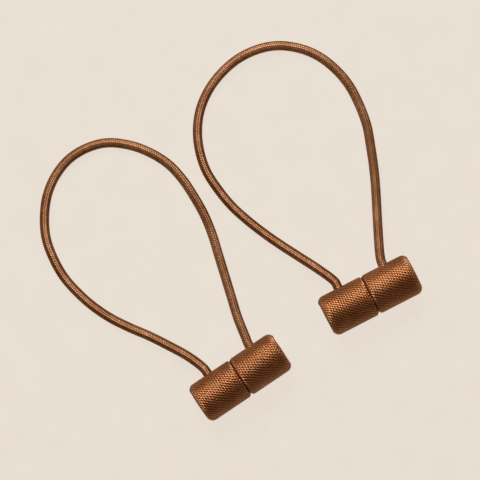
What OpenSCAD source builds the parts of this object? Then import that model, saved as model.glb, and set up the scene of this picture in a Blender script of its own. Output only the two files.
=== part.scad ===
// A pair of magnetic curtain tiebacks, clasps closed, lying side by side on a table.
// Each tieback is one length of braided cord with a barrel at each end, wound over with
// fine twisted cord.
// The two barrels of a tieback lie on their sides, meeting face to meeting face, along
// the clasp's own X axis, and the cord's teardrop loop lies on the table towards +Y.

/* [Barrel] */
// Diameter of a barrel over its wound cover
barrel_d = 24; // [22:0.5:34]
// Length of one barrel, from the meeting plane to its outer end
barrel_len = 28; // [26:0.5:44]
// Rounding of a barrel's outer edge
outer_round = 4; // [2:0.1:4.5]
// Rounding of a barrel's edge beside the meeting plane
meeting_round = 2.2; // [1.6:0.1:2.6]

/* [Wound cover] */
// Thickness of the twisted cord that is wound round a barrel
cover_t = 1.3; // [0.9:0.1:1.5]
// Flat part of the cover that goes on over a barrel's meeting end
lip_w = 0.6; // [0.4:0.1:1]

/* [Shell] */
// Wall of the shell round its rear bore
shell_wall = 1.8; // [1.4:0.1:2.6]
// Step inside the shell that the end cap's skirt stands on
cap_step = 0.5; // [0.3:0.1:1]
// Thickness of the web behind the magnet
web_t = 1.5; // [1:0.1:2.5]

/* [Magnet and face ring] */
// Width of the ring round the magnet's face; the magnet fills what the ring leaves free
ring_w = 1.6; // [1.2:0.1:2.6]
// How far that ring sinks into the shell, behind the cover's thickness
ring_sink = 0.4; // [0.2:0.1:1]
// Thickness of the disc magnet
magnet_t = 6; // [3:0.5:7]

/* [End cap] */
// Thickness of the end cap's disc
cap_t = 1.4; // [1:0.1:2.5]
// Length of the end cap's skirt below its disc
cap_skirt_len = 2; // [1.2:0.1:4]
// Wall of the end cap's skirt
cap_wall = 1.2; // [0.8:0.1:2]
// Rise of the end cap's dome, whose crown is the barrel's outer end
cap_dome = 0.4; // [0.2:0.1:0.8]

/* [Cord] */
// Diameter of the braided cord
cord_d = 5; // [4:0.25:5.5]
// Slope at which the cord leaves a barrel, down towards the table
exit_tilt = 10; // [6:1:14]

/* [Ferrule] */
// Length of the crimp ferrule on the cord's end
ferrule_len = 8; // [6:0.5:9]
// Wall and floor of the crimp ferrule
ferrule_wall = 0.7; // [0.5:0.1:1]
// Width of the ferrule's flange beyond its barrel
flange_w = 0.9; // [0.5:0.1:1.2]
// Thickness of the ferrule's flange
flange_t = 1; // [0.8:0.1:1.5]

/* [Clearances] */
// Clearance of each glued or pushed-in piece in its seat
seat_fit = 0.05; // [0.02:0.01:0.1]
// Clearance of the cord in the holes of the cover and the shell
cord_fit = 0.2; // [0.1:0.05:0.4]
// Gap between the two meeting faces of a closed clasp
meeting_gap = 0.1; // [0.05:0.05:0.2]
// Gap between neighbouring lengths of the cord, where it bends open
bend_gap = 0.2; // [0.1:0.05:0.3]

/* [Pair] */
// Where tieback b's clasp lies, to the right of tieback a's
b_right = 86; // [84:0.5:120]
// How far tieback b's clasp lies towards the viewer
b_near = 2.3; // [0:0.1:8]
// Turn of tieback b, clockwise from above
b_turn = 6.6; // [3:0.1:9]

/* [Hidden] */
$fn = 64;
TIEBACKS = ["a", "b"];
SIDES = ["left", "right"];
BARREL_PARTS = ["cover", "shell", "magnet", "face_ring", "end_cap", "ferrule"];
CORD_PARTS = ["cord_left", "cord_bow", "cord_right"];
NODES = concat(
    [for (t = TIEBACKS, s = SIDES, p = BARREL_PARTS) str("tieback_", t, "_", s, "_", p)],
    [for (t = TIEBACKS, p = CORD_PARTS) str("tieback_", t, "_", p)]
);
node = "all";

// Radii, and distances s from the meeting plane along a barrel
barrel_r = barrel_d / 2;
cord_r = cord_d / 2;
face_s = meeting_gap / 2;
shell_r = barrel_r - cover_t - seat_fit;
shell_front_s = face_s + cover_t + seat_fit;
shell_rear_s = barrel_len - cover_t - seat_fit;
ring_seat_r = barrel_r - meeting_round - lip_w;
ring_seat_s = shell_front_s + ring_sink;
pocket_r = ring_seat_r - seat_fit - ring_w;
magnet_r = pocket_r - seat_fit;
pocket_s = face_s + magnet_t + seat_fit;
cap_bore_r = shell_r - shell_wall;
cavity_r = cap_bore_r - cap_step;
cavity_s = pocket_s + web_t;
edge_break = 0.4;

// The end cap's rim, and the ball that its dome is cut from
cap_r = cap_bore_r - seat_fit;
cap_rim_s = barrel_len - cap_dome;
cap_step_s = cap_rim_s - cap_t - cap_skirt_len;
dome_w = cap_r - edge_break;
dome_r = (pow(dome_w, 2) + pow(cap_dome, 2)) / (2 * cap_dome);

// The cord's hole is midway along a barrel, and its ferrule's flange bears on the shell's wall
hole_s = barrel_len / 2;
ferrule_bore_r = cord_r + seat_fit;
ferrule_r = ferrule_bore_r + ferrule_wall;
flange_r = ferrule_r + flange_w;
flange_out = sqrt(pow(cavity_r, 2) - pow(flange_r, 2)) - seat_fit;
ferrule_in = flange_out - ferrule_len;
cord_in = ferrule_in + ferrule_wall;

// The routes of the two cords from the left barrel round to the right one, in each
// tieback's own frame: x, y and how far the cord is above lying flat on the table
ROUTES = [
    [[-14.5, 17, 6.5], [-18, 26.5, 4.8], [-23.5, 37, 3.1], [-29.5, 47.5, 1.6], [-36, 57.5, 0.5],
     [-42, 68, 0], [-46.5, 79, 0], [-49.5, 90.5, 0], [-51, 102.5, 0], [-50, 114.5, 0],
     [-47, 126, 0], [-41, 136.5, 0], [-33, 145.5, 0], [-23, 152, 0], [-11.5, 155.5, 0],
     [0.5, 155, 0], [11.5, 151, 0], [21, 143, 0], [28, 133.5, 0], [33, 122.5, 0],
     [35, 111, 0], [35, 99, 0], [34, 87, 0], [31.5, 75, 0], [28, 63.5, 0.5],
     [24.5, 52, 1.4], [21, 40.5, 2.7], [17.5, 29, 4.4], [15, 17.5, 6.4]],
    [[-14.5, 17, 6.5], [-19.5, 27, 4.8], [-25.5, 37.5, 3.1], [-31.5, 48, 1.6], [-37, 58.5, 0.5],
     [-42, 69.5, 0], [-46, 80.5, 0], [-48.5, 92.5, 0], [-49.5, 104.5, 0], [-47.5, 116.5, 0],
     [-43, 127.5, 0], [-36, 137, 0], [-26.5, 144.5, 0], [-15.5, 149.5, 0], [-4, 152, 0],
     [8, 151.5, 0], [19, 148, 0], [29, 141, 0], [36.5, 132, 0], [41.5, 121, 0],
     [44, 109.5, 0], [44, 97.5, 0], [42.5, 85.5, 0], [39, 74, 0], [35, 62.5, 0.5],
     [30.5, 51.5, 1.4], [25.5, 40.5, 2.7], [20.5, 29.5, 4.4], [15.5, 18, 6.4]]
];
// The route points where each cord bends open, from its left end to its right end
BENDS = [[11, 17], [11, 18]];
cord_sides = 12;

// The pair stands centred on the origin: the boxes round the two clasps together
b_half_x = rounded_reach(barrel_len, barrel_r);
b_half_y = rounded_reach(barrel_r, barrel_len);
pair_low = [min(-barrel_len, b_right - b_half_x), min(-barrel_r, -b_near - b_half_y), 0];
pair_high = [max(barrel_len, b_right + b_half_x), max(barrel_r, b_half_y - b_near), 0];
PLACES = [[0, 0, 0], [b_right, -b_near, 0]];
TURNS = [0, -b_turn];

// Half the box of a turned rectangle with rounded corners, along its first side
function rounded_reach(along, across) =
    (along - outer_round) * cos(b_turn) + (across - outer_round) * sin(b_turn) + outer_round;

function unit(v) = v / norm(v);

// A point on the line of a barrel's cord hole, this far from the barrel's axis
function hole_point(side, reach) =
    [side * hole_s, reach * cos(exit_tilt), barrel_r - reach * sin(exit_tilt)];

// The whole path of a tieback's cord, from one ferrule's floor to the other's
function cord_path(t) = concat(
    [hole_point(-1, cord_in), hole_point(-1, barrel_r)],
    [for (p = ROUTES[t]) [p[0], p[1], p[2] + cord_r]],
    [hole_point(1, barrel_r), hole_point(1, cord_in)]
);

// The indices in the path where the cord's lengths begin and end
function cord_stops(t) = concat([0], [for (b = BENDS[t]) b + 2], [len(ROUTES[t]) + 3]);

function heading(path, i) = unit(path[min(i + 1, len(path) - 1)] - path[max(i - 1, 0)]);

// The corners of the cord's section, square to its heading
function ring(centre, dir) =
    let (side = unit(cross(dir, [0, 0, 1])), up = cross(side, dir))
    [for (k = [0:cord_sides - 1])
        centre + cord_r * (cos(360 * k / cord_sides) * up + sin(360 * k / cord_sides) * side)];

function tube_faces(rings) = concat(
    [[for (k = [0:cord_sides - 1]) k]],
    [for (j = [0:rings - 2], k = [0:cord_sides - 1], half = [0, 1])
        let (a = j * cord_sides + k, b = j * cord_sides + (k + 1) % cord_sides,
             c = b + cord_sides, d = a + cord_sides)
        half == 0 ? [a, d, c] : [a, c, b]],
    [[for (k = [cord_sides - 1:-1:0]) (rings - 1) * cord_sides + k]]
);

// A disc's half section between two distances along the barrel, its rim rounded at both
module rim_profile(r, s_low, s_high, round_low, round_high) {
    difference() {
        translate([0, s_low]) square([r, s_high - s_low]);
        rim_corner(r, s_low, round_low, 1);
        rim_corner(r, s_high, round_high, -1);
    }
}

module rim_corner(r, s, round, dir) {
    if (round > 0) {
        difference() {
            translate([r - round, dir > 0 ? s - 1 : s - round]) square([round + 1, round + 1]);
            translate([r - round, s + dir * round]) circle(r = round);
        }
    }
}

module half_disc(r, s_low, s_high) {
    translate([0, s_low]) square([r, s_high - s_low]);
}

// What follows is drawn along the line of a barrel's cord hole, outwards along its own Z
module along_hole() {
    translate([0, 0, hole_s]) rotate([0, 0, -exit_tilt]) rotate([-90, 0, 0]) children();
}

module cord_hole() {
    along_hole() cylinder(h = barrel_r + 1, r = cord_r + cord_fit);
}

module cover() {
    color("#8f5430") difference() {
        rotate_extrude() difference() {
            rim_profile(barrel_r, face_s, barrel_len, meeting_round, outer_round);
            rim_profile(barrel_r - cover_t, face_s + cover_t, barrel_len - cover_t,
                        meeting_round - cover_t, outer_round - cover_t);
            half_disc(ring_seat_r, face_s - 1, face_s + cover_t + 1);
            half_disc(cap_bore_r, barrel_len - cover_t - 1, barrel_len + 1);
        }
        cord_hole();
    }
}

module shell() {
    color("#3b2a20") difference() {
        rotate_extrude() difference() {
            rim_profile(shell_r, shell_front_s, shell_rear_s,
                        meeting_round - cover_t - seat_fit, outer_round - cover_t - seat_fit);
            half_disc(ring_seat_r, face_s, ring_seat_s);
            half_disc(pocket_r, face_s, pocket_s);
            half_disc(cavity_r, cavity_s, cap_step_s + 1);
            half_disc(cap_bore_r, cap_step_s, barrel_len);
        }
        cord_hole();
    }
}

module magnet() {
    color("silver") rotate_extrude()
        rim_profile(magnet_r, face_s, face_s + magnet_t, edge_break, edge_break);
}

module face_ring() {
    color("#4a2f20") rotate_extrude() difference() {
        half_disc(ring_seat_r - seat_fit, face_s, ring_seat_s - seat_fit);
        half_disc(pocket_r, face_s - 1, ring_seat_s + 1);
    }
}

module end_cap() {
    color("#4a2f20") rotate_extrude() {
        difference() {
            rim_profile(cap_r, cap_step_s, cap_rim_s, 0, edge_break);
            half_disc(cap_r - cap_wall, cap_step_s - 1, cap_rim_s - cap_t);
        }
        intersection() {
            half_disc(dome_w, cap_rim_s - cap_t / 2, barrel_len);
            translate([0, barrel_len - dome_r]) circle(r = dome_r, $fn = 720);
        }
    }
}

module ferrule() {
    color("#b5a27a") along_hole() difference() {
        union() {
            translate([0, 0, ferrule_in]) cylinder(h = ferrule_len, r = ferrule_r);
            translate([0, 0, flange_out - flange_t]) cylinder(h = flange_t, r = flange_r);
        }
        translate([0, 0, cord_in]) cylinder(h = ferrule_len, r = ferrule_bore_r);
    }
}

// One length of a tieback's cord, with half a bend gap left free at each bend
module cord_length(t, part) {
    path = cord_path(t);
    first = cord_stops(t)[part];
    last = cord_stops(t)[part + 1];
    start_gap = part == 0 ? 0 : bend_gap / 2;
    end_gap = part == len(CORD_PARTS) - 1 ? 0 : bend_gap / 2;
    rings = [for (i = [first:last])
        let (shift = i == first ? start_gap : (i == last ? -end_gap : 0))
        ring(path[i] + shift * heading(path, i), heading(path, i))];
    color("#7d4526") polyhedron(
        points = [for (one = rings) each one],
        faces = tube_faces(len(rings)),
        convexity = 4
    );
}

module place_tieback(t) {
    translate(PLACES[t] - (pair_low + pair_high) / 2) rotate([0, 0, TURNS[t]]) children();
}

module place_barrel(t, s) {
    place_tieback(t) translate([0, 0, barrel_r])
        mirror([s == 0 ? 1 : 0, 0, 0]) rotate([0, 90, 0]) children();
}

function wanted(name) = node == "all" || node == name;

for (t = [0:len(TIEBACKS) - 1], s = [0:len(SIDES) - 1]) {
    end = str("tieback_", TIEBACKS[t], "_", SIDES[s], "_");
    if (wanted(str(end, "cover"))) place_barrel(t, s) cover();
    if (wanted(str(end, "shell"))) place_barrel(t, s) shell();
    if (wanted(str(end, "magnet"))) place_barrel(t, s) magnet();
    if (wanted(str(end, "face_ring"))) place_barrel(t, s) face_ring();
    if (wanted(str(end, "end_cap"))) place_barrel(t, s) end_cap();
    if (wanted(str(end, "ferrule"))) place_barrel(t, s) ferrule();
}
for (t = [0:len(TIEBACKS) - 1], part = [0:len(CORD_PARTS) - 1]) {
    if (wanted(str("tieback_", TIEBACKS[t], "_", CORD_PARTS[part]))) {
        place_tieback(t) cord_length(t, part);
    }
}
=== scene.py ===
"""A pair of magnetic curtain tiebacks: braided cords and cord-wound barrels, clasps shut.

The cords are braided here, and the barrels wound with twisted cord, yarn by yarn, by
Geometry Nodes trees. Everything else is the solid model's own shape with its finish added.
"""
import math

import bpy
from mathutils import Matrix, Vector


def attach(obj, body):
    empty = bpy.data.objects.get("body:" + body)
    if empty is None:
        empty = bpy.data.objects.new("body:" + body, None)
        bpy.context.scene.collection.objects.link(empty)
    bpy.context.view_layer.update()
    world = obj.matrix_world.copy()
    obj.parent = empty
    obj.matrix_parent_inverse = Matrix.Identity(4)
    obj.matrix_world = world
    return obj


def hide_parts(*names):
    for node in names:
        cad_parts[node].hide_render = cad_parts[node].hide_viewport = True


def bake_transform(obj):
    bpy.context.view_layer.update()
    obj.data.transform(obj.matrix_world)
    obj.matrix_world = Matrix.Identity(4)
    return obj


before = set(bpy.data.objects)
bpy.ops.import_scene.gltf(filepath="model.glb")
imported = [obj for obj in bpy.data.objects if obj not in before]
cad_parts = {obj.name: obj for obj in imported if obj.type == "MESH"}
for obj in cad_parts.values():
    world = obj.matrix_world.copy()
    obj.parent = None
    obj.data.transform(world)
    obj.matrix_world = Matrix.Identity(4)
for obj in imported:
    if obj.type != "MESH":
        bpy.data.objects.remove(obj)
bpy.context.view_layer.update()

MM = 0.001
WHITE = (1.0, 1.0, 1.0)

# The camera: sensor and lens in millimetres, its place, and its roll
SENSOR_WIDTH = 36
LENS_LENGTH = 214
CAMERA_PLACE = (-0.58 * MM, 66.3 * MM, 1608 * MM)
CAMERA_ROLL = math.radians(-33.96)

# Sizes of the solid model
BARREL_RADIUS = 12 * MM
BARREL_LENGTH = 28 * MM
MEETING_ROUND = 2.2 * MM
OUTER_ROUND = 4 * MM
COVER_THICKNESS = 1.3 * MM
RING_SEAT_RADIUS = 9.2 * MM
CAP_BORE_RADIUS = 8.85 * MM
CORD_DIAMETER = 5 * MM
CORD_RADIUS = CORD_DIAMETER / 2
CORD_END_REACH = -0.104 * MM
EXIT_TILT = math.radians(10)

# Where each clasp's middle is, and how far its tieback is turned, seen from above
CLASPS = {
    "a": {"middle": (-43.38 * MM, 2.3 * MM), "turn": 0.0},
    "b": {"middle": (42.62 * MM, 0.0), "turn": math.radians(-6.6)},
}

# Each cord's route from the left barrel round to the right one, the same as the solid cord's,
# in its tieback's own frame, in millimetres: x, y and how far the cord is above lying flat
ROUTES = {
    "a": (
        (-14.5, 17, 6.5), (-18, 26.5, 4.8), (-23.5, 37, 3.1), (-29.5, 47.5, 1.6),
        (-36, 57.5, 0.5), (-42, 68, 0), (-46.5, 79, 0), (-49.5, 90.5, 0), (-51, 102.5, 0),
        (-50, 114.5, 0), (-47, 126, 0), (-41, 136.5, 0), (-33, 145.5, 0), (-23, 152, 0),
        (-11.5, 155.5, 0), (0.5, 155, 0), (11.5, 151, 0), (21, 143, 0), (28, 133.5, 0),
        (33, 122.5, 0), (35, 111, 0), (35, 99, 0), (34, 87, 0), (31.5, 75, 0),
        (28, 63.5, 0.5), (24.5, 52, 1.4), (21, 40.5, 2.7), (17.5, 29, 4.4), (15, 17.5, 6.4),
    ),
    "b": (
        (-14.5, 17, 6.5), (-19.5, 27, 4.8), (-25.5, 37.5, 3.1), (-31.5, 48, 1.6),
        (-37, 58.5, 0.5), (-42, 69.5, 0), (-46, 80.5, 0), (-48.5, 92.5, 0), (-49.5, 104.5, 0),
        (-47.5, 116.5, 0), (-43, 127.5, 0), (-36, 137, 0), (-26.5, 144.5, 0), (-15.5, 149.5, 0),
        (-4, 152, 0), (8, 151.5, 0), (19, 148, 0), (29, 141, 0), (36.5, 132, 0),
        (41.5, 121, 0), (44, 109.5, 0), (44, 97.5, 0), (42.5, 85.5, 0), (39, 74, 0),
        (35, 62.5, 0.5), (30.5, 51.5, 1.4), (25.5, 40.5, 2.7), (20.5, 29.5, 4.4), (15.5, 18, 6.4),
    ),
}

# The route points between which each half of a cord bends when its clasp opens; no bending is
# set up here. The two halves meet at the left one's last point.
BEND_SPANS = {
    "a": {"left": (8, 14), "right": (14, 20)},
    "b": {"left": (8, 14), "right": (15, 21)},
}

# The cords' braid: yarns that wind both ways and cross over and under each other. The number
# of carriers each way is even, or the overs and unders wouldn't close up round the cord. The
# braid is a little fuller than the cord's nominal size.
YARN_WIDTH = 1.5 * MM
YARN_THICKNESS = 0.32 * MM
YARN_SIDES = 6
STEPS_PER_CROSSING = 2
CARRIERS_EACH_WAY = 10
BRAID_LEAD = 11 * MM
CROSSING_DEPTH = 0.16 * MM
BRAID_FULLNESS = 0.20 * MM
CORE_SIDES = 12
CORE_STEP = 2 * MM
SHADE_SEED = 7

# The barrels' covers: a cord of twisted plies, wound round and round
WINDING_PITCH = 1.4 * MM
PLIES = 2
PLY_DIAMETER = 0.82 * MM
PLY_OFFSET = 0.48 * MM
PLY_HEIGHT = 0.08 * MM
PLY_SIDES = 6
STEPS_PER_TWIST = 10
# Turns of the twist in one turn round the barrel, which decides how the plies of
# neighbouring turns line up
TWISTS_PER_TURN = {"left": 20.175, "right": 20.22}
# How far the twist strays, in radians, and over what distance
TWIST_WANDER = 2.5
TWIST_WANDER_SIZE = 9 * MM
# How sharply the turns close up again beside the cord's hole, and how tightly they hold it
SLIT_SHARPNESS = 0.65
HOLE_TIGHTNESS = 0.2 * MM
# The winding's outline: steps in its two rounded edges, and how far the first turn goes over
# the face ring's seat
FRONT_ROUND_STEPS = 8
REAR_ROUND_STEPS = 12
RING_OVERLAP = 0.1 * MM

# The yarns' finish: streaks of the filaments along and across a yarn, how far apart the
# patterns of two yarns lie, and how much each layer adds to the tone
STREAKS_ALONG = 260.0
STREAKS_ACROSS = 3.2
PATTERN_SHIFT = 90.0
CLOUD_SCALE = 90.0
FILAMENT_SHARE, CLOUD_SHARE, SHADE_SHARE = 0.4, 0.5, 0.1
FILAMENT_BUMP = 0.35
FILAMENT_DEPTH = 0.15 * MM

# Dark and light tones of the moulded plastics
SHELL_TONES = (0.014, 0.008, 0.005), (0.024, 0.013, 0.008)
TRIM_TONES = (0.050, 0.024, 0.012), (0.072, 0.035, 0.017)

# The floor and the light
FLOOR_REACH = 2.0
FLOOR_DROP = 0.2 * MM
FLOOR_GLOW = 0.97
PAIR_MIDDLE = (0, 0.066, 0)
KEY_PLACE = (0.20, 0.88, 1.01)
KEY_SIZE = (0.9, 0.6)
KEY_POWER = 28
ROOM_TONE = (1.0, 0.74, 0.48, 1.0)
ROOM_STRENGTH = 0.12


# ---------------------------------------------------------------- camera

def make_camera():
    """A long lens straight above the pair, rolled so that the clasps run up to the right."""
    data = bpy.data.cameras.new("camera")
    data.sensor_width = SENSOR_WIDTH
    data.lens = LENS_LENGTH
    camera = bpy.data.objects.new("camera", data)
    camera.location = CAMERA_PLACE
    camera.rotation_euler = (0, 0, CAMERA_ROLL)
    bpy.context.scene.collection.objects.link(camera)
    bpy.context.scene.camera = camera


# ---------------------------------------------------------------- node trees

def link_or_set(tree, socket, value):
    """Link another node's output to the socket, or set the socket to a plain value."""
    if isinstance(value, bpy.types.NodeSocket):
        tree.links.new(value, socket)
    else:
        socket.default_value = value


def add_node(tree, kind, inputs=None, **settings):
    """Add a node with its settings, and link or set the inputs that are named."""
    node = tree.nodes.new(kind)
    for name, value in settings.items():
        setattr(node, name, value)
    for name, value in (inputs or {}).items():
        socket = next(s for s in node.inputs if s.name == name and s.enabled)
        link_or_set(tree, socket, value)
    return node


def number(tree, operation, *values):
    """The result of one Math node."""
    node = add_node(tree, "ShaderNodeMath", operation=operation)
    for socket, value in zip(node.inputs, values):
        link_or_set(tree, socket, value)
    return node.outputs["Value"]


def vector(tree, operation, *values):
    """The result of one Vector Math node."""
    node = add_node(tree, "ShaderNodeVectorMath", operation=operation)
    for socket, value in zip([s for s in node.inputs if s.enabled], values):
        link_or_set(tree, socket, value)
    return next(s for s in node.outputs if s.enabled)


def joined_vector(tree, x, y, z):
    parts = {"X": x, "Y": y, "Z": z}
    return add_node(tree, "ShaderNodeCombineXYZ", parts).outputs["Vector"]


def turned_between(tree, first, second, angle):
    """The unit vector at this angle from the first towards the second."""
    return vector(
        tree,
        "ADD",
        vector(tree, "SCALE", first, number(tree, "COSINE", angle)),
        vector(tree, "SCALE", second, number(tree, "SINE", angle)),
    )


def new_shape_tree(name, sizes):
    """A Geometry Nodes tree with named inputs, and those inputs' sockets by name."""
    tree = bpy.data.node_groups.new(name, "GeometryNodeTree")
    for label, kind in sizes.items():
        tree.interface.new_socket(label, in_out="INPUT", socket_type="NodeSocket" + kind)
    tree.interface.new_socket("Geometry", in_out="OUTPUT", socket_type="NodeSocketGeometry")
    given = {s.name: s for s in tree.nodes.new("NodeGroupInput").outputs}
    return tree, given


def finish_shape_tree(tree, *parts):
    """Join the parts, smooth them and send them out."""
    join = tree.nodes.new("GeometryNodeJoinGeometry")
    for part in parts:
        tree.links.new(part, join.inputs["Geometry"])
    smooth = add_node(tree, "GeometryNodeSetShadeSmooth", {"Geometry": join.outputs[0]})
    end = tree.nodes.new("NodeGroupOutput")
    tree.links.new(smooth.outputs["Geometry"], end.inputs["Geometry"])


def grown_object(name, tree, values):
    """An object whose plain mesh is what the tree makes from these values."""
    grown = bpy.data.objects.new(name, bpy.data.meshes.new(name))
    bpy.context.scene.collection.objects.link(grown)
    modifier = grown.modifiers.new("shape", "NODES")
    modifier.node_group = tree
    for item in tree.interface.items_tree:
        if item.in_out == "INPUT":
            modifier[item.identifier] = values[item.name]
    depsgraph = bpy.context.evaluated_depsgraph_get()
    mesh = bpy.data.meshes.new_from_object(grown.evaluated_get(depsgraph))
    grown.modifiers.remove(modifier)
    grown.data = mesh
    mesh.name = name
    return grown


# ---------------------------------------------------------------- yarns and plies

STRAND_INPUTS = {
    "Strand width": "Float",
    "Strand thickness": "Float",
    "Strand sides": "Int",
    "From": "Float",
    "To": "Float",
    "Strand finish": "Material",
}


def straight_strands(tree, given, strands, steps):
    """A straight line for each strand; returns the lines, strand number and distance."""
    line = add_node(tree, "GeometryNodeCurvePrimitiveLine").outputs["Curve"]
    points = number(tree, "ADD", steps, 1.0)
    line = add_node(tree, "GeometryNodeResampleCurve", {"Curve": line, "Count": points})
    copies = add_node(
        tree,
        "GeometryNodeDuplicateElements",
        {"Geometry": line.outputs["Curve"], "Amount": strands},
        domain="SPLINE",
    )
    factor = tree.nodes.new("GeometryNodeSplineParameter").outputs["Factor"]
    span = number(tree, "SUBTRACT", given["To"], given["From"])
    along = number(tree, "MULTIPLY_ADD", factor, span, given["From"])
    return copies.outputs["Geometry"], copies.outputs["Duplicate Index"], along


def store(tree, geometry, name, value, data_type="FLOAT"):
    inputs = {"Geometry": geometry, "Name": name, "Value": value}
    node = add_node(
        tree, "GeometryNodeStoreNamedAttribute", inputs, data_type=data_type, domain="POINT"
    )
    return node.outputs["Geometry"]


def strand_solids(tree, given, lines, strand, length, place, outward, rise):
    """Move the straight lines to their places and give them the strand's section.

    The attributes that the finish reads are stored: how far along and across the strand a
    point is, how far it is towards the outside, a shade for each strand, and how high the
    strand lies there among its neighbours, from -1 to 1. The lines are moved last, since the
    distance along them is told from where they lie.
    """
    lines = add_node(
        tree, "GeometryNodeSetCurveNormal", {"Curve": lines, "Normal": outward}, mode="FREE"
    )
    shade = add_node(
        tree,
        "FunctionNodeRandomValue",
        {"ID": strand, "Seed": SHADE_SEED, "Min": 0.0, "Max": 1.0},
        data_type="FLOAT",
    )
    lines = store(tree, lines.outputs["Curve"], "strand_along", length)
    lines = store(tree, lines, "strand_rise", rise)
    lines = store(tree, lines, "strand_shade", next(s for s in shade.outputs if s.enabled))
    lines = add_node(tree, "GeometryNodeSetPosition", {"Geometry": lines, "Position": place})
    # The section is a circle 1 across, until it gets the strand's size
    section = add_node(
        tree,
        "GeometryNodeCurvePrimitiveCircle",
        {"Resolution": given["Strand sides"], "Radius": 0.5},
        mode="RADIUS",
    )
    position = tree.nodes.new("GeometryNodeInputPosition").outputs["Position"]
    spot = add_node(tree, "ShaderNodeSeparateXYZ", {"Vector": position})
    across = number(tree, "MULTIPLY", spot.outputs["Y"], 2.0)
    outside = number(tree, "MULTIPLY", spot.outputs["X"], 2.0)
    section = store(tree, section.outputs["Curve"], "strand_across", across)
    section = store(tree, section, "strand_outside", outside)
    size = joined_vector(tree, given["Strand thickness"], given["Strand width"], 1.0)
    section = add_node(
        tree, "GeometryNodeTransform", {"Geometry": section, "Scale": size}
    ).outputs["Geometry"]
    solid = add_node(
        tree,
        "GeometryNodeCurveToMesh",
        {"Curve": lines.outputs["Geometry"], "Profile Curve": section, "Fill Caps": True},
    ).outputs["Mesh"]
    solid = add_node(tree, "GeometryNodeRealizeInstances", {"Geometry": solid})
    return add_node(
        tree,
        "GeometryNodeSetMaterial",
        {"Geometry": solid.outputs["Geometry"], "Material": given["Strand finish"]},
    ).outputs["Geometry"]


# ---------------------------------------------------------------- the cords' braid

def carrier_place(tree, given, carrier, along):
    """The angle of a carrier's yarn and how high it lies, -1 to 1, at this distance along.

    Half of the carriers wind one way and half the other. Which of two crossing yarns lies
    outside depends on the angle alone, and that lines the floats up in columns. A yarn goes
    over two others and under two, so its wave repeats every four columns.
    """
    second_half = number(tree, "DIVIDE", carrier, given["Carriers each way"])
    # A little is added, so that rounding doesn't put the second half's first yarn in the first
    second_half = number(tree, "FLOOR", number(tree, "ADD", second_half, 0.001))
    hand = number(tree, "MULTIPLY_ADD", second_half, -2.0, 1.0)
    wound = number(tree, "DIVIDE", along, given["Lead"])
    wound = number(tree, "MULTIPLY", wound, given["Carriers each way"])
    column = number(tree, "MULTIPLY", number(tree, "MULTIPLY", wound, hand), 2.0)
    column = number(tree, "MULTIPLY_ADD", carrier, 2.0, column)
    angle = number(tree, "MULTIPLY", column, math.pi)
    angle = number(tree, "DIVIDE", angle, given["Carriers each way"])
    wave = number(tree, "ADD", number(tree, "SUBTRACT", column, 1.5), hand)
    return angle, number(tree, "COSINE", number(tree, "MULTIPLY", wave, math.pi / 2))


def cord_braid_tree():
    """A round braid over a core, along a path."""
    tree, given = new_shape_tree(
        "cord braid",
        {"Path": "Object", "Mid radius": "Float", "Core radius": "Float",
         "Core finish": "Material", "Carriers each way": "Int", "Lead": "Float",
         "Crossing depth": "Float", "Steps per crossing": "Int", **STRAND_INPUTS},
    )
    path = add_node(tree, "GeometryNodeObjectInfo", {"Object": given["Path"]})
    path = add_node(
        tree,
        "GeometryNodeCurveSplineType",
        {"Curve": path.outputs["Geometry"]},
        spline_type="CATMULL_ROM",
    )
    path = add_node(
        tree, "GeometryNodeSetCurveNormal", {"Curve": path.outputs["Curve"]}, mode="Z_UP"
    ).outputs["Curve"]

    crossings = number(tree, "SUBTRACT", given["To"], given["From"])
    crossings = number(tree, "DIVIDE", crossings, given["Lead"])
    crossings = number(tree, "MULTIPLY", crossings, given["Carriers each way"])
    crossings = number(tree, "MULTIPLY", crossings, 2.0)
    steps = number(tree, "MULTIPLY", crossings, given["Steps per crossing"])
    carriers = number(tree, "MULTIPLY", given["Carriers each way"], 2.0)
    lines, carrier, along = straight_strands(tree, given, carriers, steps)
    angle, rise = carrier_place(tree, given, carrier, along)
    height = number(tree, "MULTIPLY", rise, given["Crossing depth"])
    middle = add_node(
        tree, "GeometryNodeSampleCurve", {"Curves": path, "Length": along}, mode="LENGTH"
    )
    up = middle.outputs["Normal"]
    aside = vector(tree, "CROSS_PRODUCT", middle.outputs["Tangent"], up)
    outward = turned_between(tree, up, aside, angle)
    reach = vector(tree, "SCALE", outward, number(tree, "ADD", given["Mid radius"], height))
    place = vector(tree, "ADD", middle.outputs["Position"], reach)
    yarns = strand_solids(tree, given, lines, carrier, along, place, outward, rise)

    core = add_node(
        tree,
        "GeometryNodeTrimCurve",
        {"Curve": path, "Start": given["From"], "End": given["To"]},
        mode="LENGTH",
    )
    core = add_node(
        tree,
        "GeometryNodeResampleCurve",
        {"Curve": core.outputs["Curve"], "Length": CORE_STEP},
        mode="LENGTH",
    )
    section = add_node(
        tree,
        "GeometryNodeCurvePrimitiveCircle",
        {"Resolution": CORE_SIDES, "Radius": given["Core radius"]},
    )
    core = add_node(
        tree,
        "GeometryNodeCurveToMesh",
        {"Curve": core.outputs["Curve"], "Profile Curve": section.outputs["Curve"],
         "Fill Caps": True},
    )
    core = add_node(tree, "GeometryNodeRealizeInstances", {"Geometry": core.outputs["Mesh"]})
    core = add_node(
        tree,
        "GeometryNodeSetMaterial",
        {"Geometry": core.outputs["Geometry"], "Material": given["Core finish"]},
    )
    finish_shape_tree(tree, yarns, core.outputs["Geometry"])
    return tree


# ---------------------------------------------------------------- the barrels' winding

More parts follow.
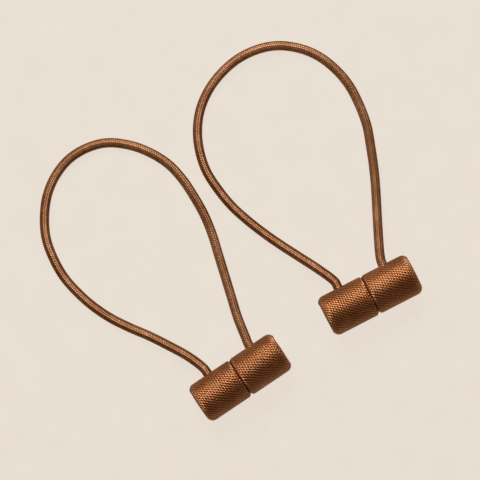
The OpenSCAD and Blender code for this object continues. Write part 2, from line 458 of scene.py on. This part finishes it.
def barrel_winding_tree():
    """A twisted cord wound round a barrel, whose turns part where the braided cord comes out.

    The barrel's axis is X, and its outline is a curve in the XZ plane, along which the turns
    lie side by side. They part like a slit round the hole.
    """
    tree, given = new_shape_tree(
        "barrel winding",
        {"Outline": "Object", "Pitch": "Float", "Plies": "Int", "Ply offset": "Float",
         "Ply height": "Float", "Twists per turn": "Float", "Steps per twist": "Int",
         "Wander": "Float", "Wander size": "Float", "Hole along": "Float",
         "Hole distance": "Float", "Hole angle": "Float", "Hole radius": "Float",
         **STRAND_INPUTS},
    )
    outline = add_node(tree, "GeometryNodeObjectInfo", {"Object": given["Outline"]})
    turns = number(tree, "SUBTRACT", given["To"], given["From"])
    turns = number(tree, "DIVIDE", turns, given["Pitch"])
    steps = number(tree, "MULTIPLY", turns, given["Twists per turn"])
    steps = number(tree, "MULTIPLY", steps, given["Steps per twist"])
    lines, ply, unwound = straight_strands(tree, given, given["Plies"], steps)
    # The first and the last turn lie flat against the outline's ends
    along = number(tree, "MINIMUM", unwound, number(tree, "SUBTRACT", given["To"], given["Pitch"]))
    along = number(tree, "MAXIMUM", along, 0.0)

    # The turns beside the hole lie half a pitch from its middle
    turned = number(tree, "SUBTRACT", unwound, given["Hole along"])
    turned = number(tree, "DIVIDE", turned, given["Pitch"])
    turned = number(tree, "ADD", turned, 0.5)
    angle = number(tree, "MULTIPLY_ADD", turned, 2 * math.pi, given["Hole angle"])
    edge = add_node(
        tree,
        "GeometryNodeSampleCurve",
        {"Curves": outline.outputs["Geometry"], "Length": along},
        mode="LENGTH",
    )
    slope = add_node(tree, "ShaderNodeSeparateXYZ", {"Vector": edge.outputs["Tangent"]})
    spot = add_node(tree, "ShaderNodeSeparateXYZ", {"Vector": edge.outputs["Position"]})

    # Near the hole, each turn is pushed along the barrel until it clears the slit
    from_hole = number(tree, "SUBTRACT", angle, given["Hole angle"])
    nearness = number(tree, "MAXIMUM", number(tree, "COSINE", from_hole), 0.0)
    beside = number(tree, "MULTIPLY", number(tree, "SINE", from_hole), spot.outputs["Z"])
    beside = number(tree, "DIVIDE", beside, given["Hole radius"])
    beside = number(tree, "MULTIPLY", beside, beside)
    slit = number(tree, "EXPONENT", number(tree, "MULTIPLY", beside, -SLIT_SHARPNESS))
    slit = number(tree, "MULTIPLY", slit, number(tree, "GREATER_THAN", nearness, 0.0))
    slit = number(tree, "MULTIPLY", slit, given["Hole radius"])
    offset = number(tree, "SUBTRACT", spot.outputs["X"], given["Hole distance"])
    pushed = number(tree, "MULTIPLY", offset, offset)
    pushed = number(tree, "ADD", pushed, number(tree, "MULTIPLY", slit, slit))
    pushed = number(tree, "SQRT", pushed)
    pushed = number(tree, "MULTIPLY", pushed, number(tree, "SIGN", offset))
    across_barrel = number(tree, "ADD", pushed, given["Hole distance"])

    radial = joined_vector(tree, 0.0, number(tree, "COSINE", angle), number(tree, "SINE", angle))
    middle = joined_vector(tree, across_barrel, 0.0, 0.0)
    middle = vector(tree, "ADD", middle, vector(tree, "SCALE", radial, spot.outputs["Z"]))
    back = number(tree, "MULTIPLY", slope.outputs["Z"], -1.0)
    off_barrel = vector(tree, "SCALE", radial, slope.outputs["X"])
    off_barrel = vector(tree, "ADD", off_barrel, joined_vector(tree, back, 0.0, 0.0))
    on_barrel = vector(tree, "SCALE", radial, slope.outputs["Z"])
    on_barrel = vector(tree, "ADD", on_barrel, joined_vector(tree, slope.outputs["X"], 0.0, 0.0))

    # The plies turn round the middle of their cord, and the twist strays a little
    fineness = number(tree, "DIVIDE", 1.0, given["Wander size"])
    wander = add_node(
        tree, "ShaderNodeTexNoise", {"Vector": middle, "Scale": fineness, "Detail": 1.0}
    )
    wander = number(tree, "MULTIPLY", wander.outputs["Fac"], given["Wander"])
    share = number(tree, "DIVIDE", ply, given["Plies"])
    share = number(tree, "MULTIPLY_ADD", share, 2 * math.pi, wander)
    twist = number(tree, "MULTIPLY_ADD", angle, given["Twists per turn"], share)
    outward = turned_between(tree, off_barrel, on_barrel, twist)
    rise = number(tree, "COSINE", twist)
    height = number(tree, "MULTIPLY", rise, given["Ply height"])
    aside = number(tree, "MULTIPLY", number(tree, "SINE", twist), given["Ply offset"])
    place = vector(tree, "ADD", middle, vector(tree, "SCALE", off_barrel, height))
    place = vector(tree, "ADD", place, vector(tree, "SCALE", on_barrel, aside))
    length = number(tree, "MULTIPLY", angle, spot.outputs["Z"])
    plies = strand_solids(tree, given, lines, ply, length, place, outward, rise)
    finish_shape_tree(tree, plies)
    return tree


# ---------------------------------------------------------------- finishes

def new_finish(name):
    """A material with its shader node; returns both and the tree."""
    material = bpy.data.materials.new(name)
    material.use_nodes = True
    tree = material.node_tree
    shader = tree.nodes["Principled BSDF"]
    return material, tree, shader


def attribute_value(tree, name):
    return add_node(tree, "ShaderNodeAttribute", attribute_name=name).outputs["Fac"]


def object_place(tree):
    return tree.nodes.new("ShaderNodeTexCoord").outputs["Object"]


def noise(tree, place, scale, detail=2.0, roughness=0.5):
    inputs = {"Vector": place, "Scale": scale, "Detail": detail, "Roughness": roughness}
    return add_node(tree, "ShaderNodeTexNoise", inputs).outputs["Fac"]


def ramp(tree, value, *stops):
    """A colour ramp with these (position, colour) stops."""
    node = add_node(tree, "ShaderNodeValToRGB", {"Fac": value})
    elements = node.color_ramp.elements
    while len(elements) < len(stops):
        elements.new(0.5)
    for element, (position, colour) in zip(elements, stops):
        element.position = position
        element.color = (*colour, 1.0)
    return node.outputs["Color"]


def bump(tree, height, strength, distance):
    inputs = {"Height": height, "Strength": strength, "Distance": distance}
    return add_node(tree, "ShaderNodeBump", inputs).outputs["Normal"]


def make_yarn_finish(name, deep, middle, light, roughness, sunken_shade, edge):
    """Glossy copper-brown filament yarn, with painted shade on the inner side of each strand and
    where it goes down between its neighbours.

    Its tone varies from deep to light. The sunken colour is painted shade where a strand lies
    beneath others, and edge the tint of the gloss at a low angle.
    """
    material, tree, shader = new_finish(name)
    along = attribute_value(tree, "strand_along")
    across = attribute_value(tree, "strand_across")
    outside = attribute_value(tree, "strand_outside")
    shade = attribute_value(tree, "strand_shade")
    place = joined_vector(
        tree,
        number(tree, "MULTIPLY", along, STREAKS_ALONG),
        number(tree, "MULTIPLY", across, STREAKS_ACROSS),
        number(tree, "MULTIPLY", shade, PATTERN_SHIFT),
    )
    filaments = noise(tree, place, 1.0, detail=3.0, roughness=0.6)
    cloudy = noise(tree, object_place(tree), CLOUD_SCALE, detail=2.0)
    tone = number(tree, "MULTIPLY", filaments, FILAMENT_SHARE)
    tone = number(tree, "MULTIPLY_ADD", cloudy, CLOUD_SHARE, tone)
    tone = number(tree, "MULTIPLY_ADD", shade, SHADE_SHARE, tone)
    colour = ramp(tree, tone, (0.25, deep), (0.5, middle), (0.75, light))
    # Painted shade: the inner side of each strand's section is darkened, as if its neighbours
    # shaded it
    height = number(tree, "MULTIPLY_ADD", outside, 0.5, 0.5)
    painted_crevice_shade = ramp(tree, height, (0.25, (0.55, 0.42, 0.32)), (0.65, WHITE))
    colour = vector(tree, "MULTIPLY", colour, painted_crevice_shade)
    # Painted shade: a strand is darkened towards the sunken colour where it lies beneath others
    rise = number(tree, "MULTIPLY_ADD", attribute_value(tree, "strand_rise"), 0.5, 0.5)
    painted_under_shade = ramp(tree, rise, (0.3, sunken_shade), (0.85, WHITE))
    colour = vector(tree, "MULTIPLY", colour, painted_under_shade)
    link_or_set(tree, shader.inputs["Base Color"], colour)
    ridges = bump(tree, filaments, FILAMENT_BUMP, FILAMENT_DEPTH)
    link_or_set(tree, shader.inputs["Normal"], ridges)
    shader.inputs["Metallic"].default_value = 1.0
    shader.inputs["Roughness"].default_value = roughness
    shader.inputs["Specular Tint"].default_value = (*edge, 1.0)
    return material


def make_core_finish():
    """The dark fibre core inside the cord's braid."""
    material, tree, shader = new_finish("cord_core_fibre")
    fibres = noise(tree, object_place(tree), scale=1400.0)
    colour = ramp(tree, fibres, (0.3, (0.010, 0.005, 0.003)), (0.7, (0.028, 0.013, 0.007)))
    link_or_set(tree, shader.inputs["Base Color"], colour)
    shader.inputs["Roughness"].default_value = 0.9
    return material


def make_plastic_finish(name, tones, roughness):
    """Moulded plastic with a fine spark-eroded grain."""
    dark, light = tones
    material, tree, shader = new_finish(name)
    place = object_place(tree)
    grain = noise(tree, place, scale=2600.0, detail=1.0)
    clouds = noise(tree, place, scale=140.0, detail=3.0)
    link_or_set(tree, shader.inputs["Base Color"], ramp(tree, clouds, (0.3, dark), (0.7, light)))
    pitted = bump(tree, grain, strength=0.25, distance=0.05 * MM)
    link_or_set(tree, shader.inputs["Normal"], pitted)
    uneven = number(tree, "MULTIPLY_ADD", clouds, 0.2, roughness - 0.1)
    link_or_set(tree, shader.inputs["Roughness"], uneven)
    return material


def make_nickel_finish():
    """Nickel plate on the magnets, with fine rubbing marks."""
    material, tree, shader = new_finish("nickel_plate")
    place = object_place(tree)
    rubbed = noise(tree, place, scale=900.0, detail=4.0, roughness=0.7)
    colour = ramp(tree, rubbed, (0.3, (0.42, 0.41, 0.39)), (0.7, (0.60, 0.59, 0.56)))
    link_or_set(tree, shader.inputs["Base Color"], colour)
    link_or_set(tree, shader.inputs["Roughness"], number(tree, "MULTIPLY_ADD", rubbed, 0.3, 0.12))
    marks = bump(tree, rubbed, strength=0.1, distance=0.02 * MM)
    link_or_set(tree, shader.inputs["Normal"], marks)
    shader.inputs["Metallic"].default_value = 1.0
    return material


def make_brass_finish():
    """Dull brass of the crimped ferrules."""
    material, tree, shader = new_finish("ferrule_brass")
    dull = noise(tree, object_place(tree), scale=500.0, detail=4.0)
    colour = ramp(tree, dull, (0.3, (0.30, 0.22, 0.10)), (0.7, (0.47, 0.35, 0.17)))
    link_or_set(tree, shader.inputs["Base Color"], colour)
    link_or_set(tree, shader.inputs["Roughness"], number(tree, "MULTIPLY_ADD", dull, 0.3, 0.25))
    shader.inputs["Metallic"].default_value = 1.0
    return material


def dress_solids(finishes):
    """Give each solid of the barrels its own finish."""
    for name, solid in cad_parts.items():
        for part, finish in finishes.items():
            if name.endswith(part):
                solid.data.materials.clear()
                solid.data.materials.append(finish)


# ---------------------------------------------------------------- cords

def clasp_matrix(tieback):
    """From a tieback's own frame to the pair's frame."""
    clasp = CLASPS[tieback]
    return Matrix.Translation((*clasp["middle"], 0)) @ Matrix.Rotation(clasp["turn"], 4, "Z")


def hole_point(side, reach):
    """A point on the line of a barrel's cord hole, this far from the barrel's axis.

    The side is -1 for the left barrel and 1 for the right one.
    """
    return Vector((
        side * BARREL_LENGTH / 2,
        reach * math.cos(EXIT_TILT),
        BARREL_RADIUS - reach * math.sin(EXIT_TILT),
    ))


def cord_path(tieback):
    """The whole path of a cord, from one ferrule's floor to the other's."""
    points = [hole_point(-1, CORD_END_REACH), hole_point(-1, BARREL_RADIUS)]
    for x, y, lift in ROUTES[tieback]:
        points.append(Vector((x * MM, y * MM, lift * MM + CORD_RADIUS)))
    points += [hole_point(1, BARREL_RADIUS), hole_point(1, CORD_END_REACH)]
    place = clasp_matrix(tieback)
    return [place @ point for point in points]


def path_object(name, points):
    """A curve object with one poly spline through the points."""
    data = bpy.data.curves.new(name, "CURVE")
    data.dimensions = "3D"
    spline = data.splines.new("POLY")
    spline.points.add(len(points) - 1)
    for spot, point in zip(spline.points, points):
        spot.co = (*point, 1.0)
    path = bpy.data.objects.new(name, data)
    bpy.context.scene.collection.objects.link(path)
    return path


def path_length(points):
    return sum((end - start).length for start, end in zip(points, points[1:]))


def drop_object(thing):
    bpy.data.objects.remove(thing, do_unlink=True)


def make_cord(tieback, tree, yarn_finish, core_finish):
    """Both halves of a tieback's cord, each braided on its part of the one path."""
    points = cord_path(tieback)
    path = path_object(f"cord_path_{tieback}", points)
    # Two points in the barrel come before the route's own
    meeting = BEND_SPANS[tieback]["left"][1] + 2
    middle = path_length(points[: meeting + 1])
    whole = path_length(points)
    braid_radius = CORD_RADIUS - YARN_THICKNESS / 2 - CROSSING_DEPTH + BRAID_FULLNESS
    halves = {
        "left": (0.0, middle, points[: meeting + 1]),
        "right": (middle, whole, points[meeting:]),
    }
    for side, (start, end, own_points) in halves.items():
        half = grown_object(
            f"tieback_{tieback}_cord_braid_{side}",
            tree,
            {
                "Path": path,
                "From": start,
                "To": end,
                "Mid radius": braid_radius,
                "Core radius": braid_radius - CROSSING_DEPTH - YARN_THICKNESS / 2,
                "Carriers each way": CARRIERS_EACH_WAY,
                "Lead": BRAID_LEAD,
                "Crossing depth": CROSSING_DEPTH,
                "Steps per crossing": STEPS_PER_CROSSING,
                "Strand width": YARN_WIDTH,
                "Strand thickness": YARN_THICKNESS,
                "Strand sides": YARN_SIDES,
                "Strand finish": yarn_finish,
                "Core finish": core_finish,
            },
        )
        declare_cord_half(half, tieback, side)
    drop_object(path)


def declare_cord_half(half, tieback, side):
    """Bake a half of a cord's place into its mesh, and hide the solid cord parts that it replaces.
    """
    route = cord_path(tieback)[2:-2]
    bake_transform(half)
    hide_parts(f"tieback_{tieback}_cord_{side}", f"tieback_{tieback}_cord_bow")


# ---------------------------------------------------------------- barrels

def barrel_outline():
    """Half the section of the winding's middle, from its first turn to its last."""
    depth = PLY_DIAMETER / 2 + PLY_HEIGHT
    side = BARREL_RADIUS - depth
    front = depth
    rear = BARREL_LENGTH - depth
    front_round = MEETING_ROUND - depth
    rear_round = OUTER_ROUND - depth
    points = [Vector((front, 0, RING_SEAT_RADIUS + depth - RING_OVERLAP))]
    for step in range(FRONT_ROUND_STEPS + 1):
        turn = math.radians(180 - 90 * step / FRONT_ROUND_STEPS)
        points.append(Vector((
            front + front_round + front_round * math.cos(turn),
            0,
            side - front_round + front_round * math.sin(turn),
        )))
    last_turn = math.asin((CAP_BORE_RADIUS + depth - side + rear_round) / rear_round)
    for step in range(REAR_ROUND_STEPS + 1):
        turn = math.pi / 2 + (last_turn - math.pi / 2) * step / REAR_ROUND_STEPS
        points.append(Vector((
            rear - rear_round + rear_round * math.cos(turn),
            0,
            side - rear_round + rear_round * math.sin(turn),
        )))
    return points


def length_to_hole(points):
    """How far along the outline the middle of the cord's hole is."""
    before = [point for point in points if point.x < BARREL_LENGTH / 2]
    return path_length(before) + BARREL_LENGTH / 2 - before[-1].x


def make_barrel_windings(tree, yarn_finish):
    """The wound covers of the four barrels."""
    points = barrel_outline()
    outline = path_object("barrel_outline", points)
    for tieback in CLASPS:
        for side, half_turn in (("left", math.pi), ("right", 0.0)):
            facing = -1 if side == "left" else 1
            cover = grown_object(
                f"tieback_{tieback}_{side}_winding",
                tree,
                {
                    "Outline": outline,
                    "Pitch": WINDING_PITCH,
                    "Plies": PLIES,
                    "Ply offset": PLY_OFFSET,
                    "Ply height": PLY_HEIGHT,
                    "Twists per turn": TWISTS_PER_TURN[side],
                    "Steps per twist": STEPS_PER_TWIST,
                    "Wander": TWIST_WANDER,
                    "Wander size": TWIST_WANDER_SIZE,
                    "Hole along": length_to_hole(points),
                    "Hole distance": BARREL_LENGTH / 2,
                    "Hole angle": math.atan2(-math.sin(EXIT_TILT), facing * math.cos(EXIT_TILT)),
                    "Hole radius": CORD_RADIUS + COVER_THICKNESS / 2 - HOLE_TIGHTNESS,
                    "From": -WINDING_PITCH,
                    "To": path_length(points) + WINDING_PITCH,
                    "Strand width": PLY_DIAMETER,
                    "Strand thickness": PLY_DIAMETER,
                    "Strand sides": PLY_SIDES,
                    "Strand finish": yarn_finish,
                },
            )
            place = clasp_matrix(tieback) @ Matrix.Translation((0, 0, BARREL_RADIUS))
            cover.data.transform(place @ Matrix.Rotation(half_turn, 4, "Z"))
            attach(cover, f"tieback_{tieback}_{side}_end")
            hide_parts(f"tieback_{tieback}_{side}_cover")
    drop_object(outline)


# ---------------------------------------------------------------- studio

def make_floor():
    """A wide cream floor under the pair, which glows so that shadows stay faint."""
    material, tree, shader = new_finish("cream_sheet")
    speckle = noise(tree, object_place(tree), scale=60.0, detail=4.0)
    colour = ramp(tree, speckle, (0.3, (0.79, 0.715, 0.630)), (0.7, (0.81, 0.735, 0.650)))
    link_or_set(tree, shader.inputs["Emission Color"], colour)
    shader.inputs["Emission Strength"].default_value = FLOOR_GLOW
    shader.inputs["Base Color"].default_value = (0.012, 0.011, 0.010, 1.0)
    shader.inputs["Roughness"].default_value = 0.9
    mesh = bpy.data.meshes.new("floor")
    signs = (-1, -1), (1, -1), (1, 1), (-1, 1)
    corners = [(x * FLOOR_REACH, y * FLOOR_REACH, 0) for x, y in signs]
    mesh.from_pydata(corners, [], [(0, 1, 2, 3)])
    mesh.materials.append(material)
    floor = bpy.data.objects.new("floor", mesh)
    floor.location.z = -FLOOR_DROP
    bpy.context.scene.collection.objects.link(floor)


def make_light(name, place, aim, size, power, colour):
    """A soft rectangular light that faces a point."""
    data = bpy.data.lights.new(name, "AREA")
    data.shape = "RECTANGLE"
    data.size, data.size_y = size
    data.energy = power
    data.color = colour
    light = bpy.data.objects.new(name, data)
    light.location = place
    light.rotation_euler = (Vector(aim) - Vector(place)).to_track_quat("-Z", "Y").to_euler()
    bpy.context.scene.collection.objects.link(light)


def make_lights():
    """One soft light from beyond the loops, and a dim room."""
    make_light("key", KEY_PLACE, PAIR_MIDDLE, KEY_SIZE, KEY_POWER, WHITE)
    world = bpy.data.worlds.new("room")
    world.use_nodes = True
    background = world.node_tree.nodes["Background"]
    background.inputs["Color"].default_value = ROOM_TONE
    background.inputs["Strength"].default_value = ROOM_STRENGTH
    bpy.context.scene.world = world
    bpy.context.scene.view_settings.view_transform = "Standard"


# ---------------------------------------------------------------- the pair

make_camera()
# In both yarns the sunken colour is painted shade, where a strand lies beneath others
cord_yarn = make_yarn_finish(
    "cord_yarn",
    deep=(0.17, 0.063, 0.021),
    middle=(0.28, 0.126, 0.057),
    light=(0.43, 0.230, 0.128),
    roughness=0.50,
    sunken_shade=(0.30, 0.18, 0.09),
    edge=(0.20, 0.07, 0.02),
)
winding_yarn = make_yarn_finish(
    "winding_yarn",
    deep=(0.32, 0.130, 0.050),
    middle=(0.43, 0.188, 0.079),
    light=(0.57, 0.276, 0.132),
    roughness=0.42,
    sunken_shade=(0.80, 0.70, 0.60),
    edge=(0.40, 0.55, 0.65),
)
core = make_core_finish()
cord_tree = cord_braid_tree()
for name in CLASPS:
    make_cord(name, cord_tree, cord_yarn, core)
make_barrel_windings(barrel_winding_tree(), winding_yarn)
dress_solids({
    "shell": make_plastic_finish("shell_plastic", SHELL_TONES, 0.7),
    "face_ring": make_plastic_finish("ring_plastic", TRIM_TONES, 0.45),
    "end_cap": make_plastic_finish("cap_plastic", TRIM_TONES, 0.5),
    "magnet": make_nickel_finish(),
    "ferrule": make_brass_finish(),
})
make_floor()
make_lights()
